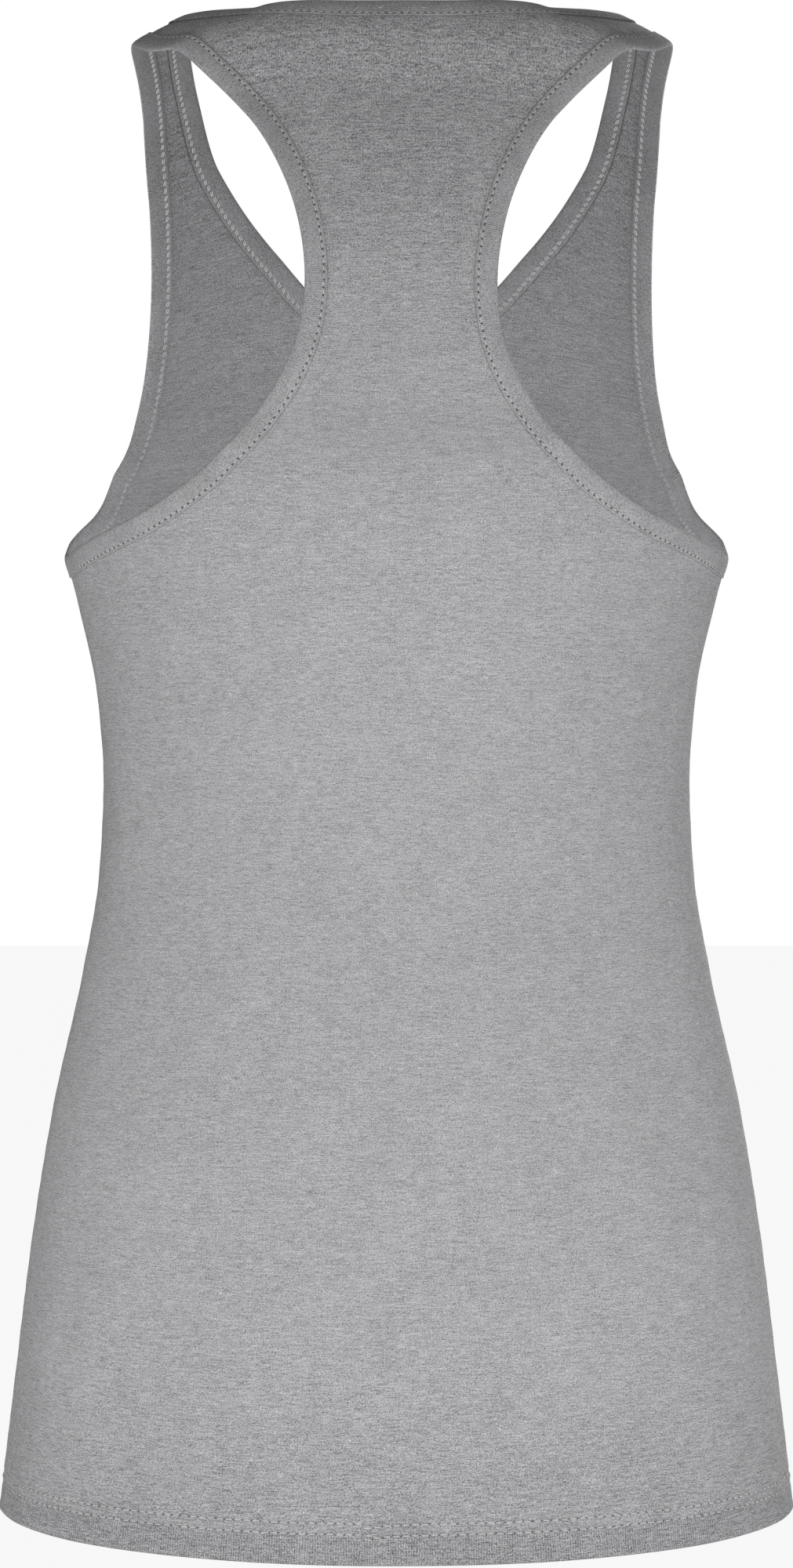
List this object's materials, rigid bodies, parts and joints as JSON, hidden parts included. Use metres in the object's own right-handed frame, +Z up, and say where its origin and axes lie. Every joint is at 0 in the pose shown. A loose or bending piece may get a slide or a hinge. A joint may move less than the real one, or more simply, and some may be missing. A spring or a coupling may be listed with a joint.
{
  "type": "tank top",
  "caption": "Racerback tank top in heather grey jersey, with a scooped front neck, folded rib bindings and a turned-up hem, filled out as worn.",
  "frame": {"origin": "midway between the crests of the two shoulder straps, where the wearer's shoulders hold it", "axes": "+Z up, +X to the wearer's right, +Y out of the garment's front; its racerback faces -Y"},
  "size_m": [0.3536, 0.2424, 0.6763],
  "materials": {
    "jersey": "soft heather grey jersey knit, matt, with a slight slub",
    "rib": "heather grey rib knit, folded over the edge and stitched"
  },
  "bodies": {
    "root": {"back_panel": "jersey", "front_panel": "jersey", "neck_binding": "rib", "left_armhole_binding": "rib", "right_armhole_binding": "rib"}
  },
  "joints": []
}
